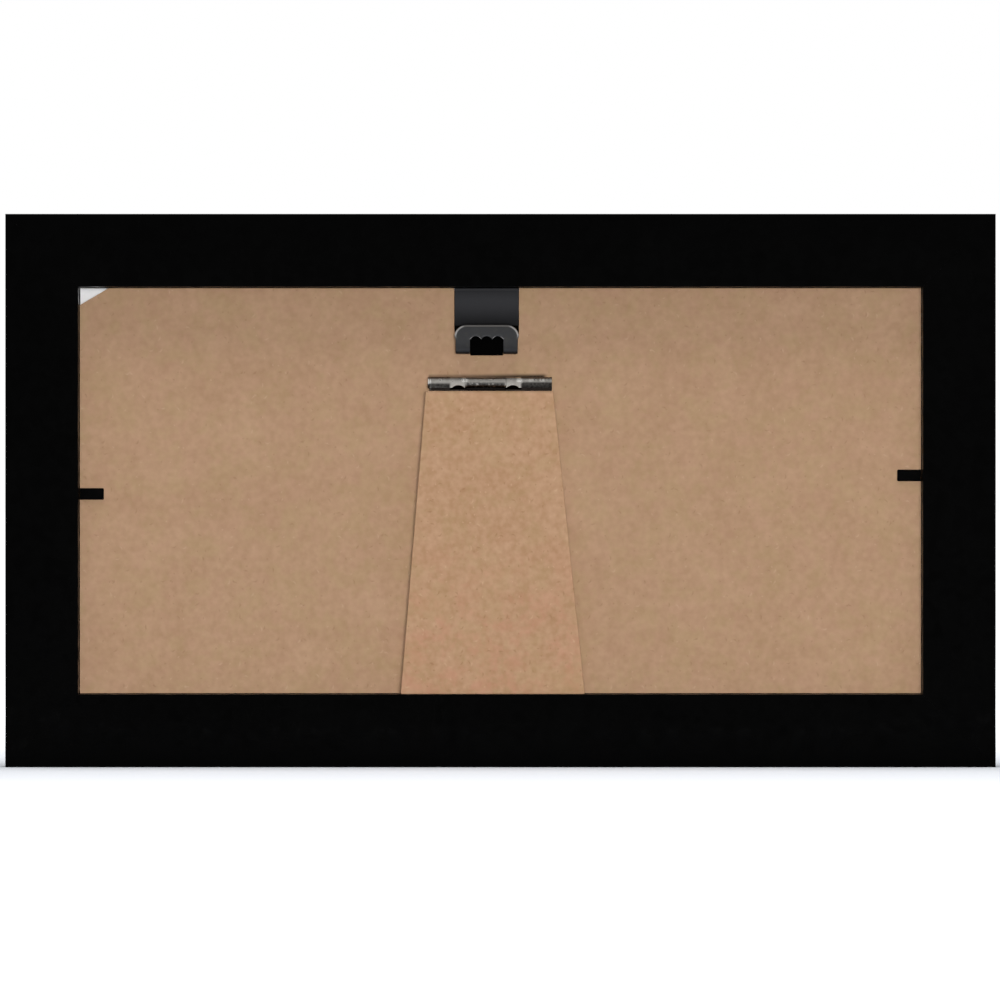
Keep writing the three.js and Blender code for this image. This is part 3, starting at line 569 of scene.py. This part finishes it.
def makeGlass():
    # thin float glass, a trace of green in its body, with lamps let through as a real pane does
    material, node, place = newMaterial("float_glass")
    clouds = patches(node, place, glass["cloud"], 0.3, 0.7)
    body = node("Mix", clouds, glass["clear"], glass["greener"], **colours)
    pane = node("BsdfPrincipled", Base_Color=body, Roughness=0.0, IOR=glass["ior"],
                Transmission_Weight=1.0)
    lampRay = node("LightPath").outputs["Is Shadow Ray"]
    node("OutputMaterial", node("MixShader", lampRay, pane, node("BsdfTransparent")))
    return material


certificate = {
    "half": (152.2, 73.3), "middle": 99.9, "rules": ((14, 0.9), (16.2, 0.35)), "ink": "#3d3a36",
    "paper": ("#fbfbfc", "#f6f6f7"),
}


def makePaper():
    # uncoated certificate paper, white with a soft fibre cloud; a plain ruled border is printed on its
    # front only, where the surface faces -Y: a line lies where the way in from the edge is its own
    material, node, place = newMaterial("certificate_paper")
    split = node("SeparateXYZ", place)
    pulp = patches(node, place, 1.8, 0.3, 0.7, 1.0, 4.0)
    colour = node("Mix", pulp, *certificate["paper"], **colours)
    ways = []
    for axis, middle, half in (("X", 0.0, certificate["half"][0]),
                               ("Z", certificate["middle"], certificate["half"][1])):
        ways.append(node("Math", half, apart(node, split.outputs[axis], middle), **minus))
    inwards = node("Math", *ways, operation="MINIMUM")
    rules = [node("Math", inwards, start, width / 2, operation="COMPARE")
             for start, width in certificate["rules"]]
    facing = node("SeparateXYZ", node("NewGeometry").outputs["Normal"])
    front = node("Math", facing.outputs["Y"], -0.5, **below)
    printed = node("Math", node("Math", *rules, **larger), front, **times)
    colour = node("Mix", printed, colour, certificate["ink"], **colours)
    felt = patches(node, place, 0.5, 0.3, 0.7)
    node("OutputMaterial", node(
        "BsdfPrincipled", Base_Color=colour, Roughness=0.85, Specular_IOR_Level=0.3,
        Normal=node("Bump", Strength=0.4, Distance=0.00001, Height=felt)))
    return material


finish = {
    "moulding": makeBlackPaint(),
    "v_nail_steel": makeNailSteel(),
    "glass": makeGlass(),
    "paper": makePaper(),
    "fibreboard": makeFibreboard("pressed_fibreboard", board),
    "leg_fibreboard": makeFibreboard("calendered_fibreboard", legBoard),
    "black_steel": makeBlackSteel(),
    "nickel_steel": makeNickel(),
    "blued_steel": makeSpringSteel(),
}
print("materials made")

for name, node in nodes.items():
    for prefix, slot in (("v_nail", "v_nail_steel"), ("flex_point", "blued_steel"), ("glass", "glass"),
                         ("certificate_sheet", "paper"), ("backing_board", "fibreboard"),
                         ("hinge_rivet", "nickel_steel"), ("hinge_pin", "nickel_steel")):
        if name.startswith(prefix):
            node.data.materials.clear()
            node.data.materials.append(finish[slot])


moulding = {
    "outer": (357.6, 199.8), "width": 26.3, "depth": 19, "lip": 6, "lipThickness": 6,
    "frontRounding": 2, "sightBevel": 1.5, "bevelRounding": 0.5, "backRounding": 0.5, "arris": 0.1,
    "lipArris": 0.2, "mitreGap": 0.03, "stations": 9,
}


def railRings(length):
    # the moulding's section as [inwards, depth], moved to both mitres: the end lies at half the length
    # less the distance inwards
    m = moulding
    sight = m["width"] + m["lip"]
    section = roundedOutline(
        [(0, 0), (0, m["depth"]), (m["width"], m["depth"]), (m["width"], m["lipThickness"]),
         (sight, m["lipThickness"]), (sight, m["sightBevel"]), (sight - m["sightBevel"], 0)],
        [m["frontRounding"], m["backRounding"], m["arris"], 0, m["lipArris"], m["bevelRounding"],
         m["bevelRounding"]],
    )
    inwards, depth = section.T
    reach = length / 2 - inwards - m["mitreGap"] / 2
    return np.stack([np.c_[side * reach, depth, inwards] for side in np.linspace(-1, 1, m["stations"])])


def makeMoulding():
    # each rail is turned onto its side of the frame, anticlockwise from the bottom: along it goes
    # run * along, and inwards goes the way that lies a quarter turn on
    width, height = moulding["outer"]
    for name, length, along, distance in (
        ("bottom", width, (1, 0), height / 2), ("right", height, (0, 1), width / 2),
        ("top", width, (-1, 0), height / 2), ("left", height, (0, -1), width / 2),
    ):
        rings = railRings(length)
        run, depth, inwards = rings[..., 0], rings[..., 1], rings[..., 2] - distance
        inX, inZ = -along[1], along[0]
        placed = np.stack([run * along[0] + inwards * inX, depth,
                           run * along[1] + inwards * inZ + height / 2], -1)
        addPiece(f"moulding_{name}", [tube(placed)], "moulding", "frame", f"rail_{name}")


makeMoulding()
print("moulding made")

leg = {
    "top": (4, 135.9, 46), "foot": (2.8, 26.35, 66.6), "front": 14.15, "thickness": 3, "rounding": 0.32,
    "corner": 0.5,
}


def makeLeg():
    # four corners; its top and its foot are each given by middle, height and width
    topX, topZ, topWidth = leg["top"]
    footX, footZ, footWidth = leg["foot"]
    outline = roundedOutline(
        [(footX - footWidth / 2, footZ), (footX + footWidth / 2, footZ),
         (topX + topWidth / 2, topZ), (topX - topWidth / 2, topZ)],
        [leg["corner"]] * 4)
    shell = plate(outline, leg["front"], leg["front"] + leg["thickness"], leg["rounding"])
    addPiece("leg_panel", [shell], "leg_fibreboard", "leg", "easel_leg")


flexTab = {
    "reach": (152.15, 143.5), "width": 4.2, "front": 12, "sheet": 0.5, "rounding": 0.18,
    "freeCorner": 0.5, "woodCorner": 0.1, "heights": {"left": 105.4, "right": 98.7},
}


def makeFlexTabs():
    # a small plate on each side; the corners over the board are rounder than those at the wood
    for name, side in (("left", -1), ("right", 1)):
        near, far = sorted(side * reach for reach in flexTab["reach"])
        middle, half = flexTab["heights"][name], flexTab["width"] / 2
        corners = [(near, middle - half), (far, middle - half), (far, middle + half), (near, middle + half)]
        first, second = flexTab["freeCorner"], flexTab["woodCorner"]
        if side < 0:
            first, second = second, first
        outline = roundedOutline(corners, [first, second, second, first])
        shell = plate(outline, flexTab["front"], flexTab["front"] + flexTab["sheet"], flexTab["rounding"])
        addPiece(f"flex_tab_{name}", [shell], "blued_steel", f"flex_point_{name}", f"flex_point_{name}_tab")


makeLeg()
makeFlexTabs()
print("leg and flexible points made")

hanger = {
    "centre": 5, "width": 23.4, "sheet": 0.9, "rounding": 0.38, "frontY": 9.45, "frontBottom": 161.2,
    "topBends": (10.0, 11.9), "bendZ": 172.2, "bendRadius": 0.55, "backY": 12.45,
    "fold": (14.0, 151.3), "foldRadius": 1.55, "flapTop": 159.8, "flapCorner": 4.5, "flapRim": 1.25,
    "steep": (0.26, 0.3), "taper": 0.45, "taperFrom": 156.0, "taperLength": 1.6,
    "scallops": 3, "pitch": 3.97, "rise": 1.15, "toothZ": 154.55, "scallopRim": 0.7, "toothRim": (0.06, 0.7),
    "tongueBottom": 148.8, "tongueOverFold": 1, "tongueSheet": 0.86, "tongueRounding": 0.2, "slit": 0.03,
}


def scallopLine():
    # lower edge of the flap over the window, from the right to the left: arcs side by side, each of the
    # radius (half pitch^2 + rise^2) / (2 rise)
    h = hanger
    radius = (h["pitch"] ** 2 / 4 + h["rise"] ** 2) / (2 * h["rise"])
    sweep = np.arcsin(h["pitch"] / 2 / radius)
    turn = np.linspace(sweep, -sweep, 11)
    runs = []
    for i in range(h["scallops"]):
        middle = h["centre"] + ((h["scallops"] - 1) / 2 - i) * h["pitch"]
        arc = np.c_[middle + radius * np.sin(turn),
                    h["toothZ"] + h["rise"] - radius + radius * np.cos(turn)]
        runs.append(arc if i == h["scallops"] - 1 else arc[:-1])
    return np.vstack(runs)


def makeHanger():
    # the strap's run, two narrow strips round the fold, the flap, and the tongue that the punched window
    # leaves flat behind it
    h = hanger
    centre = h["centre"]
    left, right = centre - h["width"] / 2, centre + h["width"] / 2
    window = h["scallops"] * h["pitch"] / 2
    foldY, foldZ = h["fold"]
    strapRun = np.vstack([
        straight((h["frontY"], h["frontBottom"]), (h["frontY"], h["bendZ"]), 180, steps=2)[:-1],
        bend((h["topBends"][0], h["bendZ"]), h["bendRadius"], 180, 90, steps=6),
        bend((h["topBends"][1], h["bendZ"]), h["bendRadius"], 90, 0, steps=6),
        straight((h["backY"], h["bendZ"]), (h["backY"], foldZ), 0, steps=6)[1:],
    ])
    softRim = [h["rounding"]] * 3
    strapSection = sheetSection(left, right, h["sheet"], softRim, softRim, columns=24)
    shells = [tube(bentSheet(strapRun, strapSection))]
    flapY = foldY + h["foldRadius"]
    foldRun = np.vstack([
        bend((foldY, foldZ), h["foldRadius"], 180, 360, steps=20, inside=True),
        straight((flapY, foldZ), (flapY, h["toothZ"]), 180, steps=3)[1:],
    ])
    # the legs' outer rims run on from the flap's: wide and shallow on the face that shows
    wideRim = [h["flapRim"], h["flapRim"] * h["steep"][0], h["flapRim"] * h["steep"][1]]
    for legLeft, legRight, rims in ((left, centre - window, (wideRim, softRim)),
                                    (centre + window, right, (softRim, wideRim))):
        section = sheetSection(legLeft, legRight, h["sheet"], *rims, columns=6)
        shells.append(tube(bentSheet(foldRun, section)))
    scallops = scallopLine()
    corner = roundedOutline(
        [(left, h["toothZ"]), (right, h["toothZ"]), (right, h["flapTop"]), (left, h["flapTop"])],
        [0, 0, h["flapCorner"], h["flapCorner"]], steps=12)
    # anticlockwise from the right leg's foot, over the top, down the left side and back along the scallops
    outline = np.vstack([corner[1:], corner[:1], scallops[::-1]])
    moved = np.ones(len(outline))
    moved[len(corner) - 1] = 0
    moved[-1] = 0
    # the rim is wide all round the flap and narrow on the scallops, least at the teeth between them:
    # start + growth * the way to the nearest tooth
    teeth = centre + (np.arange(h["scallops"] - 1) - (h["scallops"] - 2) / 2) * h["pitch"]
    nearTooth = np.abs(outline[:, :1] - teeth).min(1)
    margin = 0.1
    onScallops = ((outline[:, 1] < h["toothZ"] + h["rise"] + margin)
                  & (np.abs(outline[:, 0] - centre) < window - margin))
    start, growth = h["toothRim"]
    rim = np.where(onScallops, np.minimum(h["scallopRim"], start + growth * nearTooth), h["flapRim"])
    shells.append(plate(outline, flapY - h["sheet"] / 2, flapY + h["sheet"] / 2, rim, moved=moved,
                        steep=h["steep"]))
    half, rounding, tongueTop = window - h["slit"], h["tongueRounding"], foldZ + h["tongueOverFold"]
    tongueOutline = roundedOutline(
        [(centre - half, h["tongueBottom"]), (centre + half, h["tongueBottom"]),
         (centre + half, tongueTop), (centre - half, tongueTop)],
        [rounding, rounding, 0, 0])
    shells.append(plate(tongueOutline, h["backY"] - h["tongueSheet"] / 2, h["backY"] + h["tongueSheet"] / 2,
                        rounding))
    # below its shoulders the strip is narrower: each side runs in by taper * s^2 (3 - 2 s), where s goes
    # from 0 to 1 on the way down, and the window keeps its width
    for points, quads, ends in shells:
        away = points[:, 0] - centre
        s = np.clip((h["taperFrom"] - points[:, 2]) / h["taperLength"], 0, 1)
        outer = np.clip((np.abs(away) - window) / (h["width"] / 2 - window), 0, 1)
        points[:, 0] -= np.sign(away) * h["taper"] * s ** 2 * (3 - 2 * s) * outer
    addPiece("hanger_flap_strap", shells, "black_steel", "back", "hanger_strap")


makeHanger()
print("hanger made")

hinge = {
    "axis": (14.1, 138.9), "right": 25.6, "middleRight": 12.8, "middleLeft": -2.0, "left": -18.6,
    "gap": 0.15, "bore": 1.1, "sheet": 1.0, "rounding": 0.22, "leafHeight": 22, "leafCorner": 2,
    "leafGap": 2.3, "gapCorner": 0.4, "stop": 47.7, "arch": (4.6, 1.0),
    "crimps": 6, "crimpPitch": 1.25, "crimpInset": 1.2, "crimpDepth": 0.14,
    "knuckleRim": 0.08, "columnsPerMm": 6, "endShrink": 0.12, "endDrop": 0.1, "endLift": (0.12, 0.06),
    "play": 0.05,
}


def crimpDepth(x):
    # soft grooves, deepest on each crimp's line: depth * cos^2 of the distance, zero half a pitch away
    h = hinge
    lines = h["left"] + h["crimpInset"] + h["crimpPitch"] * np.arange(h["crimps"])
    away = np.abs(np.asarray(x)[..., None] - lines).min(-1) / (h["crimpPitch"] / 2)
    return h["crimpDepth"] * np.cos(np.clip(away, 0, 1) * pi / 2) ** 2


def tailEnd(x, radius):
    # where the rolled sheet stops below the axis: on the stop's ray, -radius / tan(stop), or higher under
    # the arch, a circle through the arch's width and rise at the tail's outer corner
    h = hinge
    width, rise = h["arch"]
    ray = -radius / tan(radians(h["stop"]))
    outer = -(h["bore"] + h["sheet"]) / tan(radians(h["stop"]))
    circle = (width ** 2 / 4 + rise ** 2) / (2 * rise)
    offset = h["gap"] + width / 2
    away = np.minimum(np.abs(x - h["middleRight"] - offset), np.abs(x - h["middleLeft"] + offset))
    arch = outer + rise - circle + np.sqrt(np.maximum(circle ** 2 - away ** 2, 0))
    return np.where(away < width / 2, np.maximum(ray, arch), ray)


def knuckle(left, right):
    # sheet rolled over the axis: half a turn, then straight down to an end that closes in over three rings
    h = hinge
    axisY, axisZ = h["axis"]
    middle = h["bore"] + h["sheet"] / 2
    rim = [h["knuckleRim"]] * 3
    columns = int((right - left) * h["columnsPerMm"])
    section = sheetSection(left, right, h["sheet"], rim, rim, columns)
    over = np.c_[section[:, 0], section[:, 1] - np.where(section[:, 1] > 0, crimpDepth(section[:, 0]), 0)]
    roll = bentSheet(bend((axisY, axisZ), middle, 180, 0, steps=24), over)
    x, radius = over[:, 0], middle + over[:, 1]
    share = np.r_[np.linspace(0.2, 1, 5), 1, 1]
    shrink = np.r_[np.zeros(5), 0.35, 1] * h["endShrink"]
    end = tailEnd(x, radius)
    tail = np.stack([np.c_[
        x, axisY + middle + over[:, 1] * (1 - 2 * s), axisZ + end * down - s * h["endDrop"],
    ] for down, s in zip(share, shrink)])
    tail[-3:-1, :, 2] += np.array(h["endLift"])[:, None]
    return tube(np.vstack([roll, tail]))


def makeBoardLeaf():
    # a flat plate, open at the top between its two rolled knuckles; its top edges run on into the rolls,
    # so they aren't inset
    h = hinge
    axisY, axisZ = h["axis"]
    front = axisY - h["bore"] - h["sheet"]
    bottom, gapTop = axisZ - h["leafHeight"], axisZ - h["leafGap"]
    gapLeft, gapRight = h["middleLeft"] - h["gap"], h["middleRight"] + h["gap"]
    corner, gapCorner = h["leafCorner"], h["gapCorner"]
    outline = roundedOutline(
        [(h["left"], bottom), (h["right"], bottom), (h["right"], axisZ), (gapRight, axisZ),
         (gapRight, gapTop), (gapLeft, gapTop), (gapLeft, axisZ), (h["left"], axisZ)],
        [corner, corner, 0, 0, gapCorner, gapCorner, 0, 0], steps=8)
    moved = np.ones(len(outline))
    onTop = np.isclose(outline[:, 1], axisZ) & np.isclose(np.roll(outline[:, 1], -1), axisZ)
    moved[onTop] = 0
    shells = [plate(outline, front, front + h["sheet"], h["rounding"], moved=moved),
              knuckle(h["left"], h["middleLeft"] - h["play"]),
              knuckle(h["middleRight"] + h["play"], h["right"])]
    addPiece("hinge_leaf_on_board", shells, "nickel_steel", "back", "hinge_board_leaf")


legLeaf = {
    "sheet": 0.68, "flare": 0.22, "from": -115, "to": 225, "steps": 60, "rings": 27,
    "reach": 0.95, "rimRings": ((0.985, 0), (0.995, 0.03), (1, 0.1)), "plate": (-9.5, 20.3),
    "plateSheet": 0.5, "bottom": 122.9, "top": 137.3, "corner": 1.2, "topCorner": 0.3, "rounding": 0.14,
    "clawRows": (125.9, 132.7), "clawWidth": 3, "clawLength": 2.2, "clawRoot": 0.4, "clawInset": 0.01,
}


def makeLegLeaf():
    h, p = hinge, legLeaf
    axisY, axisZ = h["axis"]
    left, right = h["middleLeft"] + h["play"], h["middleRight"] - h["play"]
    # the roll: its outer radius is bore + sheet + flare * share^2, with share 0 at the waist and 1 at the
    # ends; each ring is a C, out along the outer side and back along the inner one, thinner at the rims
    turn = np.radians(np.linspace(p["from"], p["to"], p["steps"] + 1))
    angle = np.r_[turn, turn[::-1]]
    rimShare, rimCut = np.array(p["rimRings"]).T
    share = np.r_[-rimShare[::-1], np.linspace(-p["reach"], p["reach"], p["rings"]), rimShare]
    thinner = np.r_[rimCut[::-1], np.zeros(p["rings"]), rimCut]
    rings = []
    for s, cut in zip(share, thinner):
        outer = h["bore"] + p["sheet"] + p["flare"] * s ** 2 - cut
        inner = h["bore"] + p["flare"] * s ** 2 + cut
        radius = np.repeat([outer, inner], len(turn))
        x = np.full(len(angle), (left + right) / 2 + s * (right - left) / 2)
        rings.append(np.c_[x, axisY + radius * np.cos(angle), axisZ + radius * np.sin(angle)])
    shells = [tube(np.stack(rings))]
    a, b = p["plate"]
    neckTop = axisZ - h["bore"] - p["plateSheet"] / 2
    outline = roundedOutline(
        [(a, p["bottom"]), (b, p["bottom"]), (b, p["top"]), (right, p["top"]), (right, neckTop),
         (left, neckTop), (left, p["top"]), (a, p["top"])],
        [p["corner"], p["corner"], p["topCorner"], 0, 0, 0, 0, p["topCorner"]])
    shells.append(plate(outline, axisY - p["plateSheet"], axisY, p["rounding"]))
    half, root, inset = p["clawWidth"] / 2, axisY - p["clawRoot"], p["clawInset"]
    for middle in p["clawRows"]:
        claw = np.array([(root, middle - half), (axisY + p["clawLength"], middle), (root, middle + half)])
        for side in (a, b - p["plateSheet"]):
            sides = side + inset, side + (p["plateSheet"] - inset)
            shells.append(tube(np.stack([np.c_[np.full(3, x), claw] for x in sides])))
    addPiece("hinge_leaf_on_leg", shells, "nickel_steel", "leg", "hinge_leg_leaf")


pole = 0.02     # a turned piece ends in a flat spot of this radius, too small to see
pin = {"radius": 1.0, "head": 2.1, "headThickness": 0.5, "rounding": 0.2}
rivet = {
    "radius": 1.2, "head": 2.2, "rise": 0.4, "drop": 14, "inset": 8, "front": 9.0, "flareEnd": 9.5,
    "headLift": 0.05,
}


def makePinAndRivets():
    # the pin's head is at the right; each rivet has a dome over the leaf, radius * cos out and rise * sin
    # up, and a flare in the board's front
    h = hinge
    axisY, axisZ = h["axis"]
    turn = np.linspace(0, pi / 2, 5)
    r = pin["rounding"]
    seat, top = h["right"] + h["gap"], h["right"] + h["gap"] + pin["headThickness"]
    profile = [(pole, h["left"]),
               *np.c_[pin["radius"] - r + r * np.sin(turn), h["left"] + r - r * np.cos(turn)],
               (pin["radius"], seat), (pin["head"], seat),
               *np.c_[pin["head"] - r + r * np.cos(turn), top - r + r * np.sin(turn)], (pole, top)]
    shell = turned(profile, (0, axisY, axisZ), "x")
    addPiece("hinge_pin_turned", [shell], "nickel_steel", "back", "hinge_pin")
    headFrom = axisY - h["bore"] + rivet["headLift"]
    dome = np.c_[rivet["head"] * np.cos(turn), headFrom + rivet["rise"] * np.sin(turn)][:-1]
    profile = [(pole, rivet["front"]), (rivet["head"], rivet["front"]), (rivet["radius"], rivet["flareEnd"]),
               (rivet["radius"], headFrom), *dome, (pole, headFrom + rivet["rise"])]
    for name, x in (("left", h["left"] + rivet["inset"]), ("right", h["right"] - rivet["inset"])):
        shell = turned(profile, (x, 0, axisZ - rivet["drop"]), "y")
        addPiece(f"rivet_{name}", [shell], "nickel_steel", "back", f"hinge_rivet_{name}")


makeBoardLeaf()
makeLegLeaf()
makePinAndRivets()
print("hinge made")

# from here on lengths are metres
camera = {"distance": 3.0, "x": 0.00018, "height": 0.0965, "view": 0.361, "sensor": 36}


def makeCamera():
    # straight at the back from far off; focal length = sensor * distance / width in view
    data = bpy.data.cameras.new("camera")
    data.sensor_width = camera["sensor"]
    data.lens = camera["sensor"] * camera["distance"] / camera["view"]
    made = addObject("camera", data)
    made.location = (camera["x"], halfDepth / 1000 + camera["distance"], camera["height"])
    made.rotation_euler = (pi / 2, 0, pi)
    scene.camera = made


light = {
    "aim": (0, 0, 0.1),     # lamps are given by place, size and power
    "lamps": {"key": ((-0.25, 3.0, 0.1), 1.0, 103.0), "overhead": ((0, 0.12, 2.1), 1.3, 65.0)},
    # and cards by half width, way off in Y, foot, top and strength
    "cards": {"front_light": (1.5, 0.85, -0.08, 1.45, 0.6), "front_dark": (3, 0.9, -2, 3, 0.02)},
    "ambient": 0.15, "floor": "#bcbfc4", "floorBounce": 0.085, "floorReach": (30, -60, 30),
    "glow": (0.045, 0.645), "glowShape": (0.3, 1, 1),
}


def addLamp(name, place, size, power):
    # a round soft box turned towards the frame, which metal and paint don't mirror
    data = bpy.data.lights.new(name, "AREA")
    data.shape = "DISK"
    data.size = size
    data.energy = power
    made = addObject(name, data)
    made.location = place
    made.rotation_euler = (Vector(light["aim"]) - Vector(place)).to_track_quat("-Z", "Y").to_euler()
    made.visible_camera = False
    made.visible_glossy = False


def addSheet(name, corners):
    # a four-cornered sheet with an empty material, and the way to add nodes to that
    mesh = bpy.data.meshes.new(name)
    mesh.from_pydata(corners, [], [(0, 1, 2, 3)])
    material = bpy.data.materials.new(name)
    mesh.materials.append(material)
    return addObject(name, mesh), emptyTree(material)


def addCard(name, reach, away, low, high, strength):
    # a card that only mirror-like rays meet, so that nothing but metal and paint shows it
    corners = [(-reach, away, low), (reach, away, low), (reach, away, high), (-reach, away, high)]
    card, node = addSheet(name, corners)
    node("OutputMaterial", node("Emission", "#ffffff", strength))
    for kind in ("camera", "diffuse", "shadow", "transmission", "volume_scatter"):
        setattr(card, "visible_" + kind, False)


def raySeen(node):
    # 1 for the rays that show the background: from the camera, off metal and through glass
    path = node("LightPath")
    shown, mirrored, letThrough = (path.outputs[f"Is {kind} Ray"]
                                   for kind in ("Camera", "Glossy", "Transmission"))
    return node("Math", node("Math", shown, mirrored, **larger), letThrough, **larger)


def grey(level):
    return (level, level, level, 1)


def makeStudio():
    # the backdrop is white where it is seen, and lights the frame at the ambient level
    world = bpy.data.worlds.new("studio")
    scene.world = world
    node = emptyTree(world)
    sky = node("Mix", raySeen(node), grey(light["ambient"]), grey(1), **colours)
    node("OutputWorld", node("Background", sky))

    side, far, near = light["floorReach"]
    ground, node = addSheet("floor", [(-side, far, 0), (side, far, 0), (side, near, 0), (-side, near, 0)])
    seen = raySeen(node)
    matt = node("BsdfDiffuse", node("Mix", seen, grey(light["floorBounce"]), light["floor"], **colours))
    # the glow rises away from the frame, so that the floor runs into the white backdrop
    around = node("VectorMath", node("TexCoord").outputs["Object"], light["glowShape"], **times)
    rise = node("MapRange", node("VectorMath", around, operation="LENGTH"), *light["glow"], 0.0, 1.0)
    glow = node("Emission", Strength=node("Math", seen, rise, **times))
    node("OutputMaterial", node("AddShader", matt, glow))

    for name, settings in light["lamps"].items():
        addLamp(name, *settings)
    for name, settings in light["cards"].items():
        addCard(name, *settings)
    scene.view_settings.view_transform = "Standard"


makeCamera()
makeStudio()
print("studio made")
